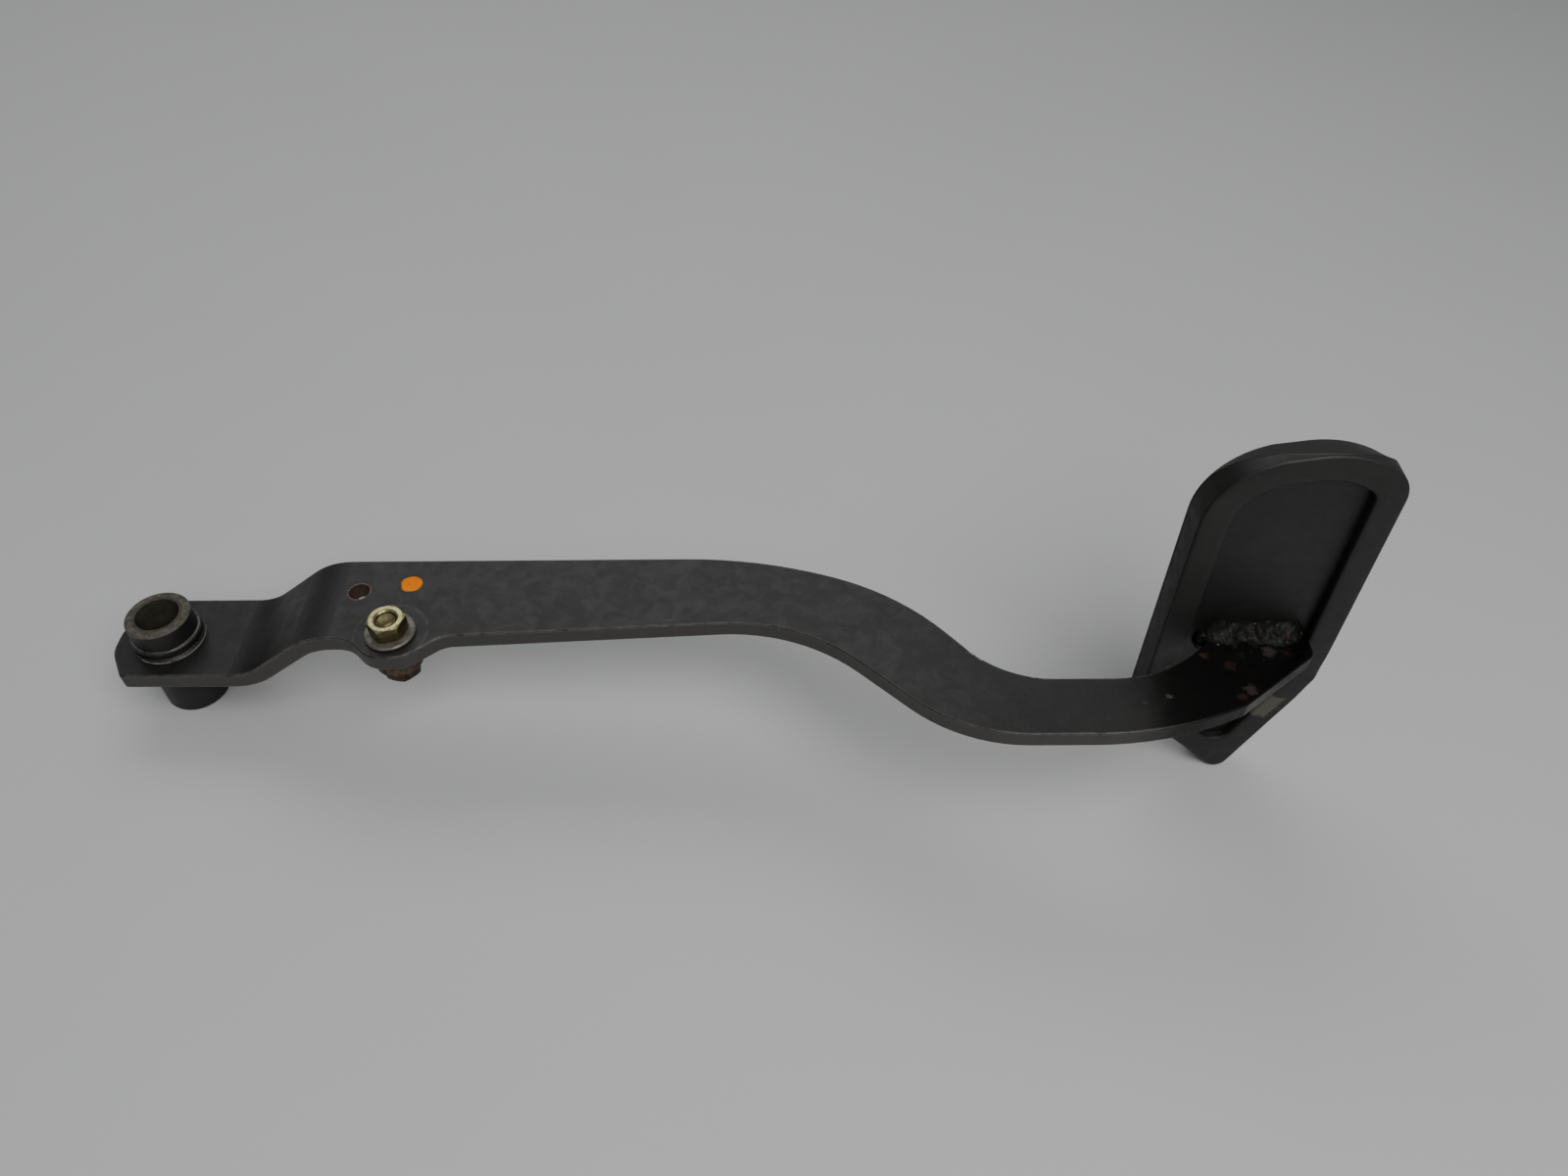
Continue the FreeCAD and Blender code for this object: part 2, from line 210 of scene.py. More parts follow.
def turned_axes(tree, place, centre, angle):
    """Coordinates in the XZ plane about a centre, turned by an angle: across and along."""
    x = combine(tree, "SUBTRACT", axis_value(tree, place, "X"), centre[0])
    z = combine(tree, "SUBTRACT", axis_value(tree, place, "Z"), centre[1])
    cosine, sine = math.cos(angle), math.sin(angle)
    across = combine(tree, "SUBTRACT", times(tree, x, cosine), times(tree, z, sine))
    along = combine(tree, "ADD", times(tree, x, sine), times(tree, z, cosine))
    return across, along


def scratches(tree, place, angle, seed_shift, length, width, low, high):
    """Hairline marks: noise pulled out along one direction."""
    turned = add(tree, "ShaderNodeMapping", {
        "Vector": place, "Location": (seed_shift, seed_shift * 0.7, 0.0),
        "Rotation": (0.0, 0.0, angle), "Scale": (length, width, width)})
    lines = cloud(tree, turned.outputs["Vector"], 1.0, 2.0, 0.5, 0.15)
    return ramp(tree, lines, low, high)


# ---------------------------------------------------------------- black paint

PAINT_SHINE = 0.42
EDGE_WEAR = 1.2 * MM


def black_paint(name, marks=None, base=1.0, painted_side_light=0.0, gloss=0.0):
    """Satin black coating: blotched, dusty, scratched, worn to grey on the edges, and greyed on its
    upright sides as painted light.

    The marks function adds what only one part has. It is given the tone and the roughness, and
    gives back the tone, the roughness and the shine.
    """
    material, tree, shader, place = new_material(name)
    broad = cloud(tree, place, 24, 5)
    flow = cloud(tree, place, 150, 5, 0.62, 0.6)
    speck = cloud(tree, place, 1100, 3, 0.6)
    chips = ramp(tree, cloud(tree, place, 230, 6, 0.7), 0.34, 0.52)
    hair = combine(tree, "MAXIMUM",
                   scratches(tree, place, 0.5, 0.3, 26, 1500, 0.70, 0.78),
                   scratches(tree, place, -0.9, 1.7, 34, 1900, 0.71, 0.79))
    tone = blend(tree, ramp(tree, broad, 0.35, 0.68),
                 rgb(0.0062 * base, 0.0062 * base, 0.0060 * base),
                 rgb(0.0105 * base, 0.0102 * base, 0.0094 * base))
    tone = layered(tree, tone, [
        (ramp(tree, flow, 0.54, 0.78, 0.0, 0.40), rgb(0.022, 0.020, 0.0165)),
        (ramp(tree, speck, 0.66, 0.76, 0.0, 0.5), rgb(0.045, 0.042, 0.036)),
        # Painted light: upright faces, such as the bar's thickness, are greyed to stand in for the
        # bright floor and front light that they face.
        (times(tree, upright_mask(tree, 0.5, 0.2), painted_side_light), rgb(0.040, 0.038, 0.035)),
        (times(tree, hair, 0.5), rgb(0.05, 0.047, 0.04)),
        (times(tree, edge_mask(tree, EDGE_WEAR, 0.91, 0.988), chips), rgb(0.29, 0.27, 0.24)),
    ])
    rough = ramp(tree, flow, 0.3, 0.75, 0.40 - gloss, 0.54 - gloss)
    shine = PAINT_SHINE
    if marks is not None:
        tone, rough, shine = marks(tree, place, tone, rough)
    plug(tree, shader.inputs["Base Color"], tone)
    plug(tree, shader.inputs["Roughness"], rough)
    plug(tree, shader.inputs["Specular IOR Level"], shine)
    peel = bump(tree, cloud(tree, place, 800, 3), 0.10, 0.0003)
    dents = bump(tree, cloud(tree, place, 130, 6, 0.62), 0.20, 0.0007, peel)
    plug(tree, shader.inputs["Normal"], dents)
    return material


# Rust and dust spots on the bar's face: centre in metres, radius in millimetres, colour.
ARM_SPOTS = [
    ((0.4235, -0.0282), 2.4, rgb(0.060, 0.047, 0.046)),
    ((0.4076, -0.0350), 2.0, rgb(0.036, 0.017, 0.013)),
    ((0.4300, -0.0290), 1.6, rgb(0.026, 0.011, 0.010)),
    ((0.4130, -0.0300), 1.0, rgb(0.026, 0.021, 0.018)),
    ((0.3992, -0.0300), 1.1, rgb(0.055, 0.034, 0.024)),
    ((0.4122, -0.0462), 2.3, rgb(0.060, 0.045, 0.039)),
    ((0.4085, -0.0490), 1.3, rgb(0.048, 0.020, 0.014)),
    ((0.3826, -0.0488), 0.5, rgb(0.105, 0.100, 0.092)),
    ((0.3731, -0.0516), 0.3, rgb(0.085, 0.080, 0.072)),
]
RING_RADIUS = 13.7 * MM
# Painted shade: from here towards the foot the paint is darkened and its sheen cut. This stands in for
# the pad's shadow and its dark reflection on the bar.
PAD_SHADE_START = 0.366
PAD_SHADE_FULL = 0.396


def arm_marks(tree, place, tone, rough):
    """Marks on the bar: rust in the spring hole, a ring worn by rubbing about the washer, sooty weld
    staining mixed with painted shade about the weld, and at the foot end painted shade from the pad,
    spots on the face and a pale patch on the side."""
    height = axis_value(tree, place, "Z")
    length = axis_value(tree, place, "X")
    on_face = ramp(tree, height, BAR_FACE - 0.9 * MM, BAR_FACE - 0.3 * MM)
    on_side = ramp(tree, height, BAR_FACE - 0.4 * MM, BAR_FACE - 1.0 * MM, 0.0, 0.7)

    hole = uneven(tree, distance_to(tree, place, SPRING_HOLE, flat=True),
                  cloud(tree, place, 700, 3), 1.2 * MM)
    rusted = ramp(tree, hole, 5.3 * MM, 4.6 * MM)
    rust = blend(tree, cloud(tree, place, 900, 5, 0.65), rgb(0.018, 0.010, 0.006),
                 rgb(0.075, 0.038, 0.018))

    reach = distance_to(tree, place, LINK, flat=True)
    off_ring = magnitude(tree, combine(tree, "SUBTRACT", reach, RING_RADIUS))
    ring = times(tree, ramp(tree, off_ring, 0.7 * MM, 0.2 * MM),
                 ramp(tree, cloud(tree, place, 260, 4), 0.4, 0.6, 0.1, 0.6))

    # Sooty weld staining, and painted shade: the dark mottle about the weld also stands in for the
    # shade that the pad casts over the bar's end.
    from_weld = uneven(tree, distance_to(tree, place, WELD_CENTRE),
                       cloud(tree, place, 160, 5), 12 * MM)
    soot_and_shade = ramp(tree, from_weld, 50 * MM, 26 * MM, 0.0, 0.9)
    soot_and_shade_tone = blend(tree, ramp(tree, cloud(tree, place, 420, 5, 0.6), 0.42, 0.62),
                 rgb(0.0022, 0.0022, 0.0019), rgb(0.0068, 0.0063, 0.0048))

    # Painted shade of the pad over the bar's foot end.
    pad_shade = ramp(tree, uneven(tree, length, cloud(tree, place, 60, 3), 10 * MM),
                PAD_SHADE_START, PAD_SHADE_FULL)
    # Pale patch on the bar's side near its tip.
    pale_side_patch = uneven(tree, length, cloud(tree, place, 300, 4), 3 * MM)
    pale_side_patch = times(tree, ramp(tree, pale_side_patch, 0.4105, 0.4120), ramp(tree, pale_side_patch, 0.4225, 0.4205))

    layers = [
        (rusted, rust),
        (ring, rgb(0.05, 0.045, 0.038)),
        (soot_and_shade, soot_and_shade_tone),
        (times(tree, pad_shade, 0.88), rgb(0.0014, 0.0014, 0.0012)),
        (times(tree, pale_side_patch, on_side), rgb(0.060, 0.053, 0.043)),
    ]
    grain = cloud(tree, place, 520, 4, 0.6)
    for spot, size, colour in ARM_SPOTS:
        near = uneven(tree, distance_to(tree, place, spot, flat=True), grain, 6 * MM)
        shape = ramp(tree, near, (size + 4.0) * MM, (size + 1.8) * MM, 0.0, 0.5)
        layers.append((times(tree, shape, on_face), colour))
    tone = layered(tree, tone, layers)

    rough = combine(tree, "MAXIMUM", rough, times(tree, rusted, 0.75))
    # Painted shade: the sheen is cut where the pad's shade is painted.
    slick = ramp(tree, times(tree, pad_shade, on_face), 0.0, 1.0, 1.0, 0.58)
    return tone, times(tree, rough, slick), ramp(tree, pad_shade, 0.0, 1.0, PAINT_SHINE, 0.18)


def bare_ends(tree, place, tone, rough):
    """The tube's ends left uncoated, stained olive and brown."""
    from_middle = magnitude(tree, axis_value(tree, place, "Z"))
    bare = ramp(tree, from_middle, TUBE_HIGH[2] - 0.9 * MM, TUBE_HIGH[2] - 0.4 * MM)
    stain = cloud(tree, place, 420, 6, 0.68)
    metal = blend(tree, ramp(tree, stain, 0.35, 0.66), rgb(0.036, 0.031, 0.023),
                  rgb(0.098, 0.088, 0.066))
    tone = blend(tree, bare, tone, metal)
    rough = combine(tree, "MAXIMUM", rough, times(tree, bare, 0.62))
    return tone, rough, PAINT_SHINE


def plate_marks(tree, place, tone, rough):
    """Darkening about the weld on the foot plate's back: sooty weld staining, and painted shade where
    the bar and the pad shade the plate.
    """
    from_weld = uneven(tree, distance_to(tree, place, WELD_CENTRE),
                       cloud(tree, place, 120, 5), 20 * MM)
    soot_and_shade = ramp(tree, from_weld, 62 * MM, 22 * MM, 0.0, 0.8)
    return blend(tree, soot_and_shade, tone, rgb(0.006, 0.006, 0.0052)), rough, PAINT_SHINE


# ---------------------------------------------------------------- other materials

LIP_PATCH = (0.4345, -0.0095)
LIP_PATCH_TURN = math.radians(20.9)


def lip_patch(tree, place):
    """Mask of the pale rectangle on the lip, near the bar's tip."""
    across, along = turned_axes(tree, place, LIP_PATCH, LIP_PATCH_TURN)
    outside = combine(tree, "MAXIMUM",
                      combine(tree, "SUBTRACT", magnitude(tree, across), 5.8 * MM),
                      combine(tree, "SUBTRACT", magnitude(tree, along), 6.6 * MM))
    ragged = uneven(tree, outside, cloud(tree, place, 380, 4), 3.5 * MM)
    on_lip = ramp(tree, axis_value(tree, place, "Y"), PAD_LOW[1] + 2.4 * MM, PAD_LOW[1] + 1.4 * MM)
    return times(tree, ramp(tree, ragged, 2.6 * MM, 0.8 * MM, 0.0, 0.8), on_lip)


def black_rubber():
    """Moulded rubber, greyed by dust, scratched, and pale in one place."""
    material, tree, shader, place = new_material("black_rubber")
    broad = cloud(tree, place, 34, 5)
    grime = cloud(tree, place, 190, 6, 0.65)
    hair = scratches(tree, place, 0.05, 0.9, 22, 1500, 0.72, 0.80)
    tone = blend(tree, ramp(tree, broad, 0.3, 0.72), rgb(0.0085, 0.0086, 0.0079),
                 rgb(0.0135, 0.0135, 0.0120))
    tone = layered(tree, tone, [
        (ramp(tree, grime, 0.56, 0.8, 0.0, 0.42), rgb(0.028, 0.0265, 0.022)),
        (times(tree, hair, 0.6), rgb(0.004, 0.004, 0.004)),
        (lip_patch(tree, place), rgb(0.092, 0.086, 0.066)),
    ])
    # Painted shade: faces that look towards the hub get a weaker sheen, so the pad's side wall there
    # reads darker.
    shaded_hub_side = ramp(tree, axis_value(tree, surface_normal(tree), "X"), -0.45, -0.85)
    plug(tree, shader.inputs["Base Color"], tone)
    plug(tree, shader.inputs["Roughness"], ramp(tree, grime, 0.3, 0.8, 0.48, 0.64))
    plug(tree, shader.inputs["Specular IOR Level"], ramp(tree, shaded_hub_side, 0.0, 1.0, 0.38, 0.16))
    skin = bump(tree, cloud(tree, place, 1500, 2), 0.10, 0.0002)
    plug(tree, shader.inputs["Normal"], bump(tree, grime, 0.16, 0.0005, skin))
    return material


def plated(name, base, shade, stain, rough_low, rough_high, stain_amount, metallic=0.85,
           painted_side_shade=0.0, rusty_below=None):
    """Zinc plating with cloudy colour, stained spots, dirt on its edges, and painted shade on its
    upright sides.
    """
    material, tree, shader, place = new_material(name)
    bloom = cloud(tree, place, 260, 5, 0.6)
    spots = cloud(tree, place, 620, 6, 0.7)
    layers = [
        (ramp(tree, spots, 0.54, 0.72, 0.0, stain_amount), stain),
        (times(tree, edge_mask(tree, 0.8 * MM, 0.80, 0.98), 0.25), stain),
        # Painted shade: upright sides darkened with the stain colour, as if less lit than the top face.
        (times(tree, upright_mask(tree, 0.35, 0.1), painted_side_shade), stain),
    ]
    if rusty_below is not None:
        rust = blend(tree, ramp(tree, spots, 0.4, 0.6), rgb(0.020, 0.012, 0.008),
                     rgb(0.075, 0.050, 0.032))
        sunk = ramp(tree, axis_value(tree, place, "Z"), rusty_below + 2 * MM, rusty_below)
        layers.append((sunk, rust))
    tone = blend(tree, ramp(tree, bloom, 0.35, 0.68), base, shade)
    plug(tree, shader.inputs["Base Color"], layered(tree, tone, layers))
    shader.inputs["Metallic"].default_value = metallic
    plug(tree, shader.inputs["Roughness"], ramp(tree, spots, 0.3, 0.7, rough_low, rough_high))
    grain = bump(tree, cloud(tree, place, 2400, 3), 0.25, 0.0001)
    plug(tree, shader.inputs["Normal"], bump(tree, bloom, 0.25, 0.0003, grain))
    return material


def rusty_steel():
    """Bare steel gone brown, with scale in patches."""
    material, tree, shader, place = new_material("rusty_steel")
    patch = cloud(tree, place, 300, 7, 0.7)
    grain = cloud(tree, place, 1500, 4, 0.6)
    tone = blend(tree, ramp(tree, patch, 0.36, 0.62), rgb(0.026, 0.018, 0.012),
                 rgb(0.105, 0.068, 0.042))
    plug(tree, shader.inputs["Base Color"], tone)
    shader.inputs["Metallic"].default_value = 0.35
    plug(tree, shader.inputs["Roughness"], ramp(tree, grain, 0.3, 0.7, 0.5, 0.78))
    rough_skin = bump(tree, grain, 0.4, 0.0002)
    plug(tree, shader.inputs["Normal"], bump(tree, patch, 0.5, 0.0005, rough_skin))
    return material


DUSTY_LUMP_X = 0.3970


def weld_scale():
    """Painted-over weld metal: dark, with rust stains, bright specks and one dusty lump."""
    material, tree, shader, place = new_material("weld_scale")
    patch = cloud(tree, place, 280, 6, 0.68)
    grain = cloud(tree, place, 1100, 4, 0.6)
    bright = ramp(tree, cloud(tree, place, 430, 2, 0.5), 0.72, 0.75)
    dusty = ramp(tree, axis_value(tree, place, "X"), DUSTY_LUMP_X + 0.5 * MM,
                 DUSTY_LUMP_X - 0.5 * MM)
    tone = blend(tree, ramp(tree, patch, 0.40, 0.66), rgb(0.0022, 0.0021, 0.0017),
                 rgb(0.0078, 0.0072, 0.0055))
    tone = layered(tree, tone, [
        (ramp(tree, cloud(tree, place, 170, 4), 0.62, 0.72, 0.0, 0.6), rgb(0.036, 0.018, 0.016)),
        (dusty, rgb(0.070, 0.065, 0.055)),
        (bright, rgb(0.62, 0.60, 0.56)),
    ])
    plug(tree, shader.inputs["Base Color"], tone)
    plug(tree, shader.inputs["Metallic"], bright)
    shader.inputs["Specular IOR Level"].default_value = 0.12
    plug(tree, shader.inputs["Roughness"], ramp(tree, grain, 0.3, 0.7, 0.34, 0.62))
    skin = bump(tree, grain, 0.16, 0.0002)
    plug(tree, shader.inputs["Normal"], bump(tree, patch, 0.25, 0.0005, skin))
    return material


def orange_paint():
    """Brushed dab of inspection paint, darker at its rim."""
    material, tree, shader, place = new_material("orange_paint")
    streak = cloud(tree, place, 520, 4, 0.6, 1.2)
    tone = blend(tree, ramp(tree, streak, 0.35, 0.68), rgb(0.80, 0.145, 0.0), rgb(0.84, 0.25, 0.0))
    rim = ramp(tree, distance_to(tree, place, DOT, flat=True), 3.2 * MM, 4.2 * MM, 0.0, 0.45)
    plug(tree, shader.inputs["Base Color"], blend(tree, rim, tone, rgb(0.40, 0.17, 0.02)))
    plug(tree, shader.inputs["Roughness"], ramp(tree, streak, 0.3, 0.7, 0.50, 0.62))
    shader.inputs["Specular IOR Level"].default_value = 0.02
    plug(tree, shader.inputs["Normal"], bump(tree, streak, 0.3, 0.0003))
    return material


def pale_floor():
    """Plain light grey, a little cloudy."""
    material, tree, shader, place = new_material("pale_floor")
    tone = blend(tree, cloud(tree, place, 6, 3), rgb(0.50, 0.50, 0.50), rgb(0.53, 0.53, 0.53))
    plug(tree, shader.inputs["Base Color"], tone)
    shader.inputs["Roughness"].default_value = 0.6
    return material


PAINT = black_paint("black_paint", arm_marks, painted_side_light=0.9)
PLATE_PAINT = black_paint("plate_paint", plate_marks, base=0.7)
TUBE_PAINT = black_paint("tube_paint", bare_ends)
COLLAR_PAINT = black_paint("collar_paint", gloss=0.16)
RUBBER = black_rubber()
YELLOW_ZINC = plated("yellow_zinc", rgb(0.42, 0.385, 0.20), rgb(0.27, 0.24, 0.10),
                     rgb(0.060, 0.045, 0.018), 0.20, 0.38, 0.5, painted_side_shade=0.85)
DULL_ZINC = plated("dull_zinc", rgb(0.185, 0.160, 0.078), rgb(0.115, 0.096, 0.046),
                   rgb(0.040, 0.029, 0.014), 0.34, 0.55, 0.7, rusty_below=0.020)
GREY_ZINC = plated("grey_zinc", rgb(0.190, 0.176, 0.150), rgb(0.115, 0.105, 0.088),
                   rgb(0.035, 0.028, 0.02), 0.46, 0.62, 0.6, metallic=0.6)
BUSH_METAL = plated("bush_metal", rgb(0.060, 0.055, 0.040), rgb(0.036, 0.032, 0.023),
                    rgb(0.018, 0.014, 0.010), 0.46, 0.64, 0.6, metallic=0.3)
RUST = rusty_steel()
WELD_SCALE = weld_scale()
ORANGE = orange_paint()
FLOOR = pale_floor()

NODE_MATERIALS = {
    "pedal_arm": PAINT, "pedal_plate": PLATE_PAINT, "pivot_tube": TUBE_PAINT,
    "pivot_bush_upper": BUSH_METAL, "pivot_bush_lower": BUSH_METAL,
    "link_washer": GREY_ZINC, "link_roller": RUST,
}
for node_name, material_used in NODE_MATERIALS.items():
    for material_slot in frame["nodes"][node_name].material_slots:
        material_slot.material = material_used


# ---------------------------------------------------------------- mesh helpers

def piece(name, build, body, material, replaced=(), smooth_angle=40):
    """Finished mesh as a piece that rides on a body and takes a slot."""
    mesh = bpy.data.meshes.new(name)
    bmesh.ops.recalc_face_normals(build, faces=build.faces)
    build.to_mesh(mesh)
    build.free()
    made = bpy.data.objects.new(name, mesh)
    bpy.context.scene.collection.objects.link(made)
    mesh.materials.append(material)
    mesh.shade_smooth()
    mesh.set_sharp_from_angle(angle=math.radians(smooth_angle))
    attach(made, body)
    if replaced:
        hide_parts(*replaced)
    return made


def row(build, points):
    return [build.verts.new(point) for point in points]


def bridge(build, first, second):
    """Faces between two closed rows of vertices."""
    count = len(first)
    for index in range(count):
        after = (index + 1) % count
        build.faces.new((first[index], first[after], second[after], second[index]))


def loft(build, rows_of_points, joined=False):
    """Skin over closed rows of points, and its rows of vertices. Joined, it ends where it began."""
    rows = [row(build, points) for points in rows_of_points]
    for first, second in zip(rows, rows[1:]):
        bridge(build, first, second)
    if joined:
        bridge(build, rows[-1], rows[0])
    return rows


def smooth(value, low, high):
    """Zero at low, one at high, with soft ends."""
    share = min(max((value - low) / (high - low), 0.0), 1.0)
    return share * share * (3 - 2 * share)


def polar(turn, reach, level):
    """Point about the hub's axis, from millimetres."""
    return Vector((reach * math.cos(turn), reach * math.sin(turn), level)) * MM


def wobble_at(turn, layer, scale):
    """Noise that goes smoothly once round a ring."""
    return noise.noise(Vector((math.cos(turn), math.sin(turn), layer)) * scale)


ARC_STEPS = 14
LINE_STEPS = 16


def inset(corners, distance, least_radius):
    """The same convex outline, moved inwards by a distance."""
    moved = []
    count = len(corners)
    for index, (x, z, radius) in enumerate(corners):
        here = Vector((x, z))
        before = (here - Vector(corners[index - 1][:2])).normalized()
        after = (Vector(corners[(index + 1) % count][:2]) - here).normalized()
        inward = (Vector((before.y, -before.x)) + Vector((after.y, -after.x))).normalized()
        corner = here + inward * (distance / math.cos(before.angle(after) / 2))
        moved.append((corner.x, corner.y, max(radius - distance, least_radius)))
    return moved


def outline_points(corners):
    """Points along the rounded outline, the same number for every outline like it."""
    count = len(corners)
    arcs = []
    for index, (x, z, radius) in enumerate(corners):
        here = Vector((x, z))
        before = (Vector(corners[index - 1][:2]) - here).normalized()
        after = (Vector(corners[(index + 1) % count][:2]) - here).normalized()
        half = before.angle(after) / 2
        centre = here + (before + after).normalized() * (radius / math.sin(half))
        start = here + before * (radius / math.tan(half)) - centre
        end = here + after * (radius / math.tan(half)) - centre
        turn = start.angle_signed(end)
        arcs.append([centre + Matrix.Rotation(-turn * step / ARC_STEPS, 2) @ start
                     for step in range(ARC_STEPS + 1)])
    points = []
    for index, arc in enumerate(arcs):
        points += arc
        following = arcs[(index + 1) % count][0]
        points += [arc[-1].lerp(following, step / LINE_STEPS) for step in range(1, LINE_STEPS)]
    return points


def outward_normals(points):
    """Direction out of the outline at each of its points."""
    count = len(points)
    found = []
    for index in range(count):
        along = (points[(index + 1) % count] - points[index - 1]).normalized()
        found.append(Vector((-along.y, along.x)))
    return found


# ---------------------------------------------------------------- rubber pad

# Corners of the pad's back: x, z and rounding radius.
PAD_CORNERS = [
    (385.0, 109.6, 29.0), (406.3, 116.9, 9.0), (431.4, 120.7, 37.0), (451.0, 107.3, 15.3),
    (451.0, 6.0, 8.0), (427.8, -54.8, 5.0), (385.0, -15.5, 12.0),
]
ROUND_END = 100.0
END_DRAFT = 3.3
FOOT_CORNERS = [(x, z - END_DRAFT if z > ROUND_END else z, radius) for x, z, radius in PAD_CORNERS]
PAD_BACK = PAD_LOW[1] / MM
PAD_FRONT = PAD_HIGH[1] / MM
PLATE_BACK = PLATE_LOW[1] / MM
PLATE_GAP = 0.02

LIP_WIDTH = 10.5
OPENING_RADIUS = 6.0
LEAST_RADIUS = 1.5
EDGE_RADIUS = 1.3
EDGE_STEPS = 6
WAVE_HEIGHT = 0.16

PARTING_CENTRE = 424.0
PARTING_REACH = 37.0
PARTING_REACH_FAR = 27.0
PARTING_GROOVE = 0.20
STRAIGHT_BELOW = 88.0
STRAIGHT_FADE = 11.0

FOOT_EDGE = 1.4
FOOT_EDGE_STEPS = 5
WALL_DRAFT = 0.1
SUNK_MARGIN = 6.0
SUNK_DEPTH = 1.6


def parting_level(point):
    """Where the mould's parting line runs across the wall: it bows to the lip at the round end."""
    reach = PARTING_REACH if point.x < PARTING_CENTRE else PARTING_REACH_FAR
    share = min(abs(point.x - PARTING_CENTRE) / reach, 1.0)
    by_lip = PAD_BACK + 1.6
    bowed = by_lip + (PAD_FRONT - 3.0 - by_lip) * share ** 1.8
    straight = PAD_FRONT - 2.6
    return bowed + (straight - bowed) * smooth(point.y, STRAIGHT_BELOW + STRAIGHT_FADE,
                                                STRAIGHT_BELOW)


def edge_radius(point):
    """Rounding of the back edge: wide on the low hub side and at the far lower corner."""
    low_side = smooth(point.x, 428.0, 400.0) * smooth(point.y, 26.0, -8.0)
    corner = smooth(math.hypot(point.x - 449.0, point.y - 8.0), 14.0, 4.0)
    return EDGE_RADIUS + 1.9 * low_side + 0.9 * corner


def rubber_pad():
    """Rubber pad with its lip, soft edges, parting line and ribbed foot side."""
    build = bmesh.new()
    base = outline_points(PAD_CORNERS)
    outward = outward_normals(base)
    foot = outline_points(FOOT_CORNERS)
    waves = [WAVE_HEIGHT * noise.noise(Vector((p.x, 0.0, p.y)) * 0.07) for p in base]

    def point(flat, level):
        return Vector((flat.x, level, flat.y)) * MM

    def lip(distance, level, wave_share=1.0):
        """Row on the lip, a distance in from the pad's outline."""
        least = OPENING_RADIUS if distance > LIP_WIDTH - 2.0 else LEAST_RADIUS
        loop = outline_points(inset(PAD_CORNERS, distance, least))
        return [point(p, level + wave * wave_share) for p, wave in zip(loop, waves)]

    def edge(share):
        """Row on the rounded back edge, from the lip (0) to the wall (1)."""
        angle = math.radians(90 * share)
        made = []
        for p, n, wave in zip(base, outward, waves):
            radius = edge_radius(p)
            level = PAD_BACK + radius * (1 - math.cos(angle)) + wave * (1 - share)
            made.append(point(p - n * radius * (1 - math.sin(angle)), level))
        return made

    def wall(offset, depth):
        """Row on the wall, beside the parting line."""
        made = []
        for p, n in zip(base, outward):
            least = PAD_BACK + edge_radius(p) + 0.1 + offset * 0.05
            made.append(point(p - n * depth, max(parting_level(p) + offset, least)))
        return made

    def drafted(share, depth, level):
        """Row whose outline is part of the way from the back's to the foot side's."""
        return [point(p.lerp(f, share) - n * depth, level) for p, n, f in zip(base, outward, foot)]

    rows = [lip(LIP_WIDTH, PLATE_BACK - PLATE_GAP, 0.0)]
    for inner, height in ((0.0, 1.1), (0.25, 0.55), (0.75, 0.18), (1.5, 0.02), (3.5, 0.0),
                          (LIP_WIDTH - 4.2, 0.0)):
        rows.append(lip(LIP_WIDTH - inner, PAD_BACK + height))
    rows += [edge(step / EDGE_STEPS) for step in range(EDGE_STEPS + 1)]
    rows += [wall(-0.30, 0.0), wall(-0.08, PARTING_GROOVE), wall(0.08, PARTING_GROOVE),
             wall(0.32, 0.03)]
    rows += [drafted(0.85, 0.06, PAD_FRONT - 1.9), drafted(0.93, WALL_DRAFT, PAD_FRONT - FOOT_EDGE)]
    for step in range(1, FOOT_EDGE_STEPS + 1):
        angle = math.radians(90 * step / FOOT_EDGE_STEPS)
        rows.append(drafted(1.0, WALL_DRAFT + FOOT_EDGE * (1 - math.cos(angle)),
                            PAD_FRONT - FOOT_EDGE + FOOT_EDGE * math.sin(angle)))
    rows += [drafted(1.0, depth, PAD_FRONT) for depth in (3.0, 4.6)]
    loops = loft(build, rows)

    sunk_outline = outline_points(inset(FOOT_CORNERS, SUNK_MARGIN, LEAST_RADIUS))
    sunk = row(build, [point(p, PAD_FRONT - SUNK_DEPTH) for p in sunk_outline])
    bridge(build, loops[-1], sunk)
    build.faces.new(sunk)
    foot_ribs(build, sunk_outline)
    return piece("rubber_pad", build, "pedal", RUBBER, ["pedal_pad"], 32)


RIB_PITCH = 8.6
RIB_START = 9.0
RIB_END_GAP = 4.2
LEAST_RIB = 8.0
RIB_HALF_WIDTH = 2.7
RIB_ROUND_STEPS = 8
# Steps in from the rib's side, and heights against the pad's front, from its root to its top.
RIB_PROFILE = [(0.0, -1.7), (0.0, -0.7), (0.18, -0.25), (0.6, -0.02), (1.3, 0.0)]


def foot_ribs(build, outline):
    """Round-ended ribs across the foot side, as long as the sunk face allows."""
    level = min(p.y for p in outline) + RIB_START
    top = max(p.y for p in outline)
    while level < top - 5.0:
        crossings = []
        for first, second in zip(outline, outline[1:] + outline[:1]):
            if (first.y - level) * (second.y - level) < 0:
                share = (level - first.y) / (second.y - first.y)
                crossings.append(first.x + (second.x - first.x) * share)
        left, right = min(crossings) + RIB_END_GAP, max(crossings) - RIB_END_GAP
        if right - left > LEAST_RIB:
            add_rib(build, left, right, level)
        level += RIB_PITCH


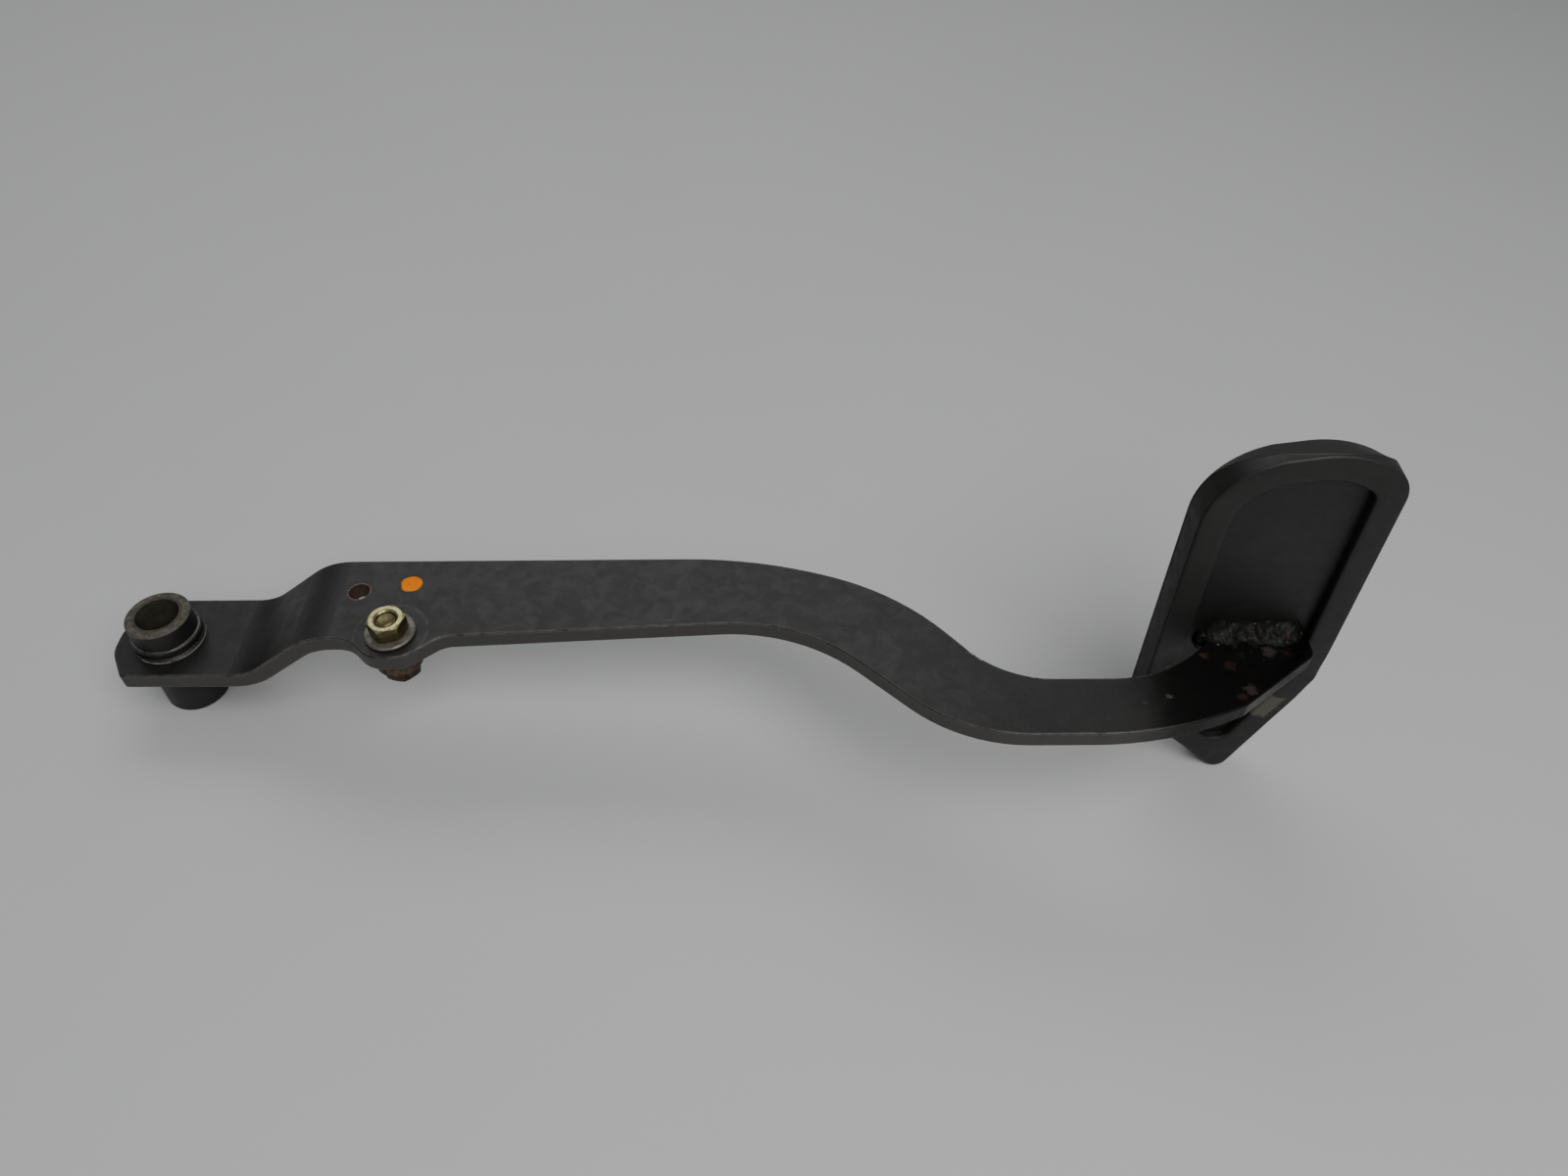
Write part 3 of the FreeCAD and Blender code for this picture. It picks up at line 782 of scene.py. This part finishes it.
def add_rib(build, left, right, level):
    """One rib: a flat-topped bar with round ends and rounded shoulders."""
    rows = []
    for shrink, height in RIB_PROFILE:
        radius = RIB_HALF_WIDTH - shrink
        points = []
        for centre, start in ((right - RIB_HALF_WIDTH, -90), (left + RIB_HALF_WIDTH, 90)):
            for step in range(RIB_ROUND_STEPS + 1):
                angle = math.radians(start + 180 * step / RIB_ROUND_STEPS)
                points.append(Vector((centre + radius * math.cos(angle), PAD_FRONT + height,
                                      level + radius * math.sin(angle))) * MM)
        rows.append(points)
    loops = loft(build, rows)
    build.faces.new(loops[-1])


# ---------------------------------------------------------------- welds at the foot plate

BEAD_SIDES = 22
BEAD_SLICE = 0.45


def bead(build, path, radii, ripple, seed):
    """Weld bead along a path: half-moon ripples, lumps, a rough skin and round ends."""
    rng = random.Random(seed)
    points = [Vector(p) for p in path]
    lengths = [(b - a).length for a, b in zip(points, points[1:])]
    total = sum(lengths)
    count = int(total / BEAD_SLICE)
    shift = Vector((rng.uniform(0, 90), rng.uniform(0, 90), 0))
    rows = []
    for step in range(count + 1):
        travelled = total * step / count
        index, left = 0, travelled
        while index < len(lengths) - 1 and left > lengths[index]:
            left -= lengths[index]
            index += 1
        share = min(left / lengths[index], 1.0)
        centre = points[index].lerp(points[index + 1], share)
        radius = radii[index] + (radii[index + 1] - radii[index]) * smooth(share, 0.0, 1.0)
        end = min(step, count - step) / count * total
        if end < radius:
            radius *= math.sqrt(end / radius * (2 - end / radius))
        along = (points[index + 1] - points[index]).normalized()
        side = along.cross(Vector((0, 0, 1)))
        side = side.normalized() if side.length > 0.1 else Vector((0, 1, 0))
        up = side.cross(along)
        ring = []
        for turn in range(BEAD_SIDES):
            angle = 2 * math.pi * turn / BEAD_SIDES
            phase = travelled / ripple - 0.35 * math.cos(angle) ** 2
            scallop = 0.07 * (phase - math.floor(phase))
            lump = 0.30 * noise.noise(centre * 0.22 + shift + Vector((0, 0, angle * 0.5)))
            around = Vector((math.cos(angle), math.sin(angle), 0)) * 2.2
            grain = 0.10 * noise.noise(centre * 1.1 + shift + around)
            reach = max(radius, 0.05) * (1 + scallop + lump + grain)
            ring.append((centre + (side * math.cos(angle) + up * math.sin(angle)) * reach) * MM)
        rows.append(ring)
    loops = loft(build, rows)
    build.faces.new(loops[0])
    build.faces.new(loops[-1])


FILLET_SLICE = 0.22
FILLET_SIDES = 46
FILLET_RIPPLE = 2.1
FILLET_ROOT = 0.9
FILLET_LEAST_WIDTH = 0.4
FILLET_LEAST_HEIGHT = 0.3
# Lumps of the weld metal: height in millimetres, and how many to a millimetre.
FILLET_LUMPS = [(1.35, 0.21), (0.62, 0.48), (0.09, 1.3), (0.03, 3.1)]


def fillet_weld(build, first, last, face, direction, reach, rise, seed):
    """Weld metal between a face of the bar and the foot plate: lumpy, rippled, thin at its toe."""
    rows = []
    count = int((last - first) / FILLET_SLICE)
    for step in range(count + 1):
        x = first + (last - first) * step / count
        ends = math.sqrt(smooth(x, first, first + 7) * smooth(-x, -last, 4 - last))
        widening = 0.95 + 0.55 * noise.noise(Vector((x * 0.17, seed, 0)))
        rising = 0.95 + 0.40 * noise.noise(Vector((x * 0.21, seed + 5.0, 0)))
        width = FILLET_LEAST_WIDTH + ends * reach * widening
        height = FILLET_LEAST_HEIGHT + ends * rise * rising
        section = []
        for corner in range(FILLET_SIDES + 1):
            share = corner / FILLET_SIDES
            y = PLATE_BACK - width * share
            spot = Vector((x, y * 1.2 + share * 3, seed))
            lump = sum(size * noise.noise(spot * scale) for size, scale in FILLET_LUMPS)
            phase = (x + 2.2 * math.sin(math.pi * min(share * 1.5, 1.0))) / FILLET_RIPPLE
            lump += 0.20 * (phase - math.floor(phase)) * (1 - share)
            swell = ends * lump * math.sin(math.pi * (share * 0.9 + 0.06)) ** 0.7
            lift = height * (1 - share) ** 2.1 - 0.25 * share + swell * (0.85 - 0.35 * share)
            section.append(Vector((x, y - 0.45 * swell * (1 - share), face + direction * lift)) * MM)
        root = face - direction * FILLET_ROOT
        section.append(Vector((x, PLATE_BACK - width, root)) * MM)
        section.append(Vector((x, PLATE_BACK, root)) * MM)
        rows.append(section)
    loops = loft(build, rows)
    build.faces.new(loops[0])
    build.faces.new(loops[-1])


def spatter(build, centre, spread, count, seed, level):
    """Small beads of thrown metal stuck to a face."""
    rng = random.Random(seed)
    flat = Matrix.Scale(0.7, 4, (0, 0, 1))
    for _ in range(count):
        spot = Vector((centre[0] + rng.gauss(0, spread[0]), centre[1] + rng.gauss(0, spread[1]), level))
        size = rng.uniform(0.22, 0.62)
        made = bmesh.ops.create_icosphere(build, subdivisions=2, radius=size * MM)
        bmesh.ops.transform(build, matrix=Matrix.Translation(spot * MM) @ flat, verts=made["verts"])


def upper_plate_weld():
    """Weld over the bar, longer than its CAD node, with spatter on the bar's face."""
    build = bmesh.new()
    face = BAR_FACE / MM
    start = UPPER_WELD_LOW[0] / MM
    end = UPPER_WELD_HIGH[0] / MM
    fillet_weld(build, start - 5.5, end + 2.0, face, 1, reach=9.5, rise=5.2, seed=4.0)
    spatter(build, (start + 12, PLATE_BACK - 11), (9, 3.0), 12, 3, face)
    piece("weld_over_bar", build, "pedal", WELD_SCALE, ["plate_weld_upper"], 60)


def lower_plate_weld():
    """Weld under the bar, as long as the CAD node of the one above."""
    build = bmesh.new()
    start = UPPER_WELD_LOW[0] / MM
    end = UPPER_WELD_HIGH[0] / MM
    face = LOWER_WELD_HIGH[2] / MM
    fillet_weld(build, start, end, face, -1, reach=7.0, rise=5.0, seed=9.0)
    piece("weld_under_bar", build, "pedal", WELD_SCALE, ["plate_weld_lower"], 60)


def throat_weld():
    """Upright bead in the throat of bar and plate, and a lump stuck to the lip beside it."""
    build = bmesh.new()
    side = THROAT_LOW[0] / MM
    low, high = THROAT_LOW[2] / MM, THROAT_HIGH[2] / MM
    path = [(side + 1.4, PLATE_BACK - 0.5, low - 1.2), (side + 1.2, PLATE_BACK - 0.9, low + 3.0),
            (side + 1.8, PLATE_BACK - 0.8, high + 1.0)]
    bead(build, path, [2.0, 2.7, 2.9], ripple=2.1, seed=21)
    stray = bmesh.ops.create_icosphere(build, subdivisions=3, radius=1.5 * MM)
    place = Matrix.Translation(Vector((side - 8.0, PAD_BACK + 0.2, 14.8)) * MM)
    bmesh.ops.transform(build, matrix=place @ Matrix.Diagonal((1.3, 0.6, 1.0, 1.0)),
                        verts=stray["verts"])
    piece("weld_in_throat", build, "pedal", WELD_SCALE, ["plate_weld_throat"], 60)


# ---------------------------------------------------------------- hub

HUB_WELD_STEPS = 220
HUB_WELD_SIDES = 7
HUB_WELD_RIPPLES = 52
HUB_WELD_CROWN = 0.16
COLLAR_STEPS = 128
COLLAR_RIM_RADIUS = 0.95
COLLAR_RIM_STEPS = 10


def hub_weld(name, node, direction):
    """Fillet of weld round the tube on one face of the bar, with fine half-moon ripples."""
    low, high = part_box(node)
    root = TUBE_HIGH[0] / MM - 0.2
    leg = (high[2] - low[2]) / MM
    face = (low[2] if direction > 0 else high[2]) / MM
    rows = []
    for step in range(HUB_WELD_STEPS):
        turn = 2 * math.pi * step / HUB_WELD_STEPS
        ripple = (step * HUB_WELD_RIPPLES / HUB_WELD_STEPS) % 1.0
        crown = HUB_WELD_CROWN + 0.10 * ripple + 0.22 * wobble_at(turn, 3, 2.4)
        section = []
        for corner in range(HUB_WELD_SIDES):
            share = corner / (HUB_WELD_SIDES - 1)
            lift = crown * math.sin(math.pi * share)
            section.append((root + leg * share * 0.9 + lift, leg * (1 - share) * 0.9 + lift))
        section += [(root + leg * 0.5, -0.1), (root, -0.1)]
        rows.append([polar(turn, reach, face + direction * level) for reach, level in section])
    build = bmesh.new()
    loft(build, rows, joined=True)
    piece(name, build, "pedal", TUBE_PAINT, [node], 60)


def collar():
    """Short ring round the tube's foot, glossy and round at its upper rim."""
    low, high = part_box("pivot_collar")
    bottom, top, rim, bore = low[2] / MM, high[2] / MM, high[0] / MM, TUBE_HIGH[0] / MM
    profile = [(bore, bottom), (rim - 0.5, bottom), (rim - 0.12, bottom + 0.15), (rim, bottom + 0.6)]
    for step in range(COLLAR_RIM_STEPS + 1):
        angle = math.radians(90 * step / COLLAR_RIM_STEPS)
        profile.append((rim - COLLAR_RIM_RADIUS * (1 - math.cos(angle)),
                        top - COLLAR_RIM_RADIUS * (1 - math.sin(angle))))
    profile.append((bore, top - 0.1))
    rows = []
    for step in range(COLLAR_STEPS):
        turn = 2 * math.pi * step / COLLAR_STEPS
        wave = 0.05 * wobble_at(turn, 7, 1.7)
        rows.append([polar(turn, reach, level + wave) for reach, level in profile])
    build = bmesh.new()
    loft(build, rows, joined=True)
    piece("collar", build, "pedal", COLLAR_PAINT, ["pivot_collar"], 50)


# ---------------------------------------------------------------- bolt and nut

FLATS = 13.0
HEX_CORNER = 0.35
HEX_CORNER_SHARE = 0.35
HEX_STEPS = 144
CHAMFER = math.radians(24)
NUT_TURN = math.radians(47)
HEAD_TURN = math.radians(15)
HEAD_HEIGHT = 5.3
SHANK_RADIUS = 4.0
THREAD_STEPS = 48
THREAD_PITCH = 1.25
THREAD_DEPTH = 0.62
THREAD_RADIUS = 3.96
THREAD_LENGTH = 9.0
THREAD_SLICE = 0.14


def beside_link(angle, reach, level):
    """Point about the link bolt's axis, from millimetres."""
    return Vector((LINK[0] / MM + reach * math.cos(angle),
                   LINK[1] / MM + reach * math.sin(angle), level)) * MM


def link_circle(reach, level, steps):
    return [beside_link(2 * math.pi * step / steps, reach, level) for step in range(steps)]


def hexagon_reach(angle, turn):
    """Distance from the axis to a hexagon's side, its corners a little rounded."""
    local = (angle - turn + math.pi / 6) % (math.pi / 3) - math.pi / 6
    reach = FLATS / 2 / math.cos(local)
    limit = FLATS / 2 / math.cos(math.pi / 6) - HEX_CORNER
    return reach if reach < limit else limit + (reach - limit) * HEX_CORNER_SHARE


def hexagon_rows(low, high, turn, hole, face_radius):
    """Rows of a nut or a bolt's head: its hole, upper face, chamfered sides and lower face."""
    def side(share, level, inwards):
        """Row a share of the way out to the flats, as low as the chamfer makes it."""
        points = []
        for step in range(HEX_STEPS):
            angle = 2 * math.pi * step / HEX_STEPS
            reach = face_radius + (hexagon_reach(angle, turn) - face_radius) * share
            fall = max(reach - face_radius, 0) * math.tan(CHAMFER)
            points.append(beside_link(angle, reach, level + inwards * fall))
        return points

    rows = [link_circle(reach, level, HEX_STEPS) for reach, level in hole]
    rows.append(link_circle(face_radius, high, HEX_STEPS))
    rows.append(link_circle(face_radius + 0.12, high - 0.05, HEX_STEPS))
    rows += [side(share, high - 0.04, -1) for share in (0.35, 0.7, 0.93)]
    rows += [side(1.0, high - 0.22, -1), side(1.0, low + 0.22, 1), side(0.93, low + 0.04, 1)]
    rows.append(link_circle(face_radius, low, HEX_STEPS))
    return rows


def lock_nut():
    """Hexagon nut with a countersunk hole."""
    build = bmesh.new()
    low, high = NUT_LOW[2] / MM, NUT_HIGH[2] / MM
    hole = [(4.02, low + 0.4), (4.02, high - 0.75), (4.45, high - 0.28), (4.62, high - 0.06),
            (4.78, high)]
    loft(build, hexagon_rows(low, high, NUT_TURN, hole, 6.25), joined=True)
    return piece("nut", build, "pedal", YELLOW_ZINC, ["lock_nut"], 16)


def thread_row(level, start, finish):
    """Ring of points on the thread, which fades in at its start and tapers at its end."""
    fade = smooth(level, start, start + 1.2)
    taper = 1.15 * smooth(level, finish - 0.9, finish)
    points = []
    for step in range(THREAD_STEPS):
        phase = ((level - start) / THREAD_PITCH - step / THREAD_STEPS) % 1.0
        groove = THREAD_DEPTH * (1 - abs(2 * phase - 1))
        reach = THREAD_RADIUS - max(groove * fade, taper)
        points.append(beside_link(2 * math.pi * step / THREAD_STEPS, reach, level))
    return points


def link_bolt():
    """Hexagon bolt, its head sunk a little in the middle, its threaded end dished."""
    build = bmesh.new()
    low, high = BOLT_LOW[2] / MM, BOLT_HIGH[2] / MM
    head_high = low + HEAD_HEIGHT
    loops = loft(build, hexagon_rows(low, head_high, HEAD_TURN, [(SHANK_RADIUS, head_high)], 6.0))
    sunk = row(build, link_circle(3.2, low + 0.25, HEX_STEPS))
    bridge(build, loops[-1], sunk)
    build.faces.new(sunk)

    start, finish = high - THREAD_LENGTH, high - 0.1
    levels = int((finish - start) / THREAD_SLICE)
    rows = [link_circle(THREAD_RADIUS, head_high, THREAD_STEPS)]
    rows += [thread_row(start + (finish - start) * number / levels, start, finish)
             for number in range(levels + 1)]
    rows += [link_circle(reach, finish - drop, THREAD_STEPS)
             for reach, drop in ((2.5, 0.06), (1.5, 0.28), (0.6, 0.34))]
    loops = loft(build, rows)
    build.faces.new(loops[-1])
    return piece("bolt", build, "pedal", DULL_ZINC, ["link_bolt"], 35)


# ---------------------------------------------------------------- paint dot

DOT_RADIUS = 4.1
DOT_HEIGHT = 0.22
DOT_RINGS = 8
DOT_STEPS = 56
DOT_LOBES = (2, 3, 4, 5)


def paint_dot():
    """Domed dab with an uneven rim, on the bar beside the spring hole."""
    rng = random.Random(7)
    phases = [rng.uniform(0, 6.28) for _ in DOT_LOBES]
    centre = Vector((DOT[0], DOT[1], BAR_FACE))
    build = bmesh.new()
    top = build.verts.new(centre + Vector((0, 0, DOT_HEIGHT)) * MM)
    rows = []
    for number in range(1, DOT_RINGS + 1):
        share = number / DOT_RINGS
        level = DOT_HEIGHT * math.sqrt(1 - share ** 4)
        points = []
        for step in range(DOT_STEPS):
            angle = 2 * math.pi * step / DOT_STEPS
            lobes = sum(0.022 * math.sin(lobe * angle + phase)
                        for lobe, phase in zip(DOT_LOBES, phases))
            reach = DOT_RADIUS * share * (1 + lobes * share)
            points.append(centre + polar(angle, reach, level))
        rows.append(points)
    loops = loft(build, rows)
    for step in range(DOT_STEPS):
        build.faces.new((top, loops[0][step], loops[0][(step + 1) % DOT_STEPS]))
    return piece("paint_dot", build, "pedal", ORANGE)


rubber_pad()
upper_plate_weld()
lower_plate_weld()
throat_weld()
hub_weld("weld_hub_upper", "hub_weld_upper", 1)
hub_weld("weld_hub_lower", "hub_weld_lower", -1)
collar()
lock_nut()
link_bolt()
paint_dot()


# ---------------------------------------------------------------- floor, light and camera

FLOOR_SIZE = 6.0
# The pad's lowest point.
NOSE_X = 0.4275


def floor():
    """Floor that touches the hub's lower rim and the pad's nose, as the pedal lies."""
    near = Vector((TUBE_HIGH[0], 0, TUBE_LOW[2]))
    far = Vector((NOSE_X, 0, PAD_LOW[2]))
    tilt = math.atan2(near.z - far.z, far.x - near.x)
    mesh = bpy.data.meshes.new("floor")
    build = bmesh.new()
    bmesh.ops.create_grid(build, x_segments=8, y_segments=8, size=FLOOR_SIZE / 2)
    build.transform(Matrix.Translation(near) @ Matrix.Rotation(tilt, 4, "Y"))
    build.to_mesh(mesh)
    build.free()
    made = bpy.data.objects.new("floor", mesh)
    bpy.context.scene.collection.objects.link(made)
    made.data.materials.append(FLOOR)


def world():
    """Weak, even, slightly blue light from all round."""
    made = bpy.data.worlds.new("studio")
    made.use_nodes = True
    background = made.node_tree.nodes["Background"]
    background.inputs["Color"].default_value = (0.95, 0.97, 1.0, 1.0)
    background.inputs["Strength"].default_value = 0.22
    bpy.context.scene.world = made


def area_light(name, place, target, width, depth, power):
    """Rectangular light at a place, aimed at a target."""
    data = bpy.data.lights.new(name, "AREA")
    data.shape = "RECTANGLE"
    data.size = width
    data.size_y = depth
    data.energy = power
    made = bpy.data.objects.new(name, data)
    made.location = place
    aim = Vector(target) - Vector(place)
    made.rotation_euler = aim.to_track_quat("-Z", "Y").to_euler()
    bpy.context.scene.collection.objects.link(made)


def camera():
    """Wide lens above the pedal, looking down and across it."""
    data = bpy.data.cameras.new("camera")
    data.sensor_width = 36.0
    data.lens = 27.0
    made = bpy.data.objects.new("camera", data)
    made.location = (0.24777, -0.30735, 0.36334)
    made.rotation_euler = (math.radians(43.2285), math.radians(0.4175), 0.0)
    bpy.context.scene.collection.objects.link(made)
    bpy.context.scene.camera = made


floor()
world()
area_light("behind", (0.0, 0.95, 1.25), (0.15, 0.0, 0.0), 1.3, 0.7, 6)
area_light("front", (0.62, -0.70, 1.15), (0.24, 0.0, 0.0), 1.1, 0.8, 15)
camera()
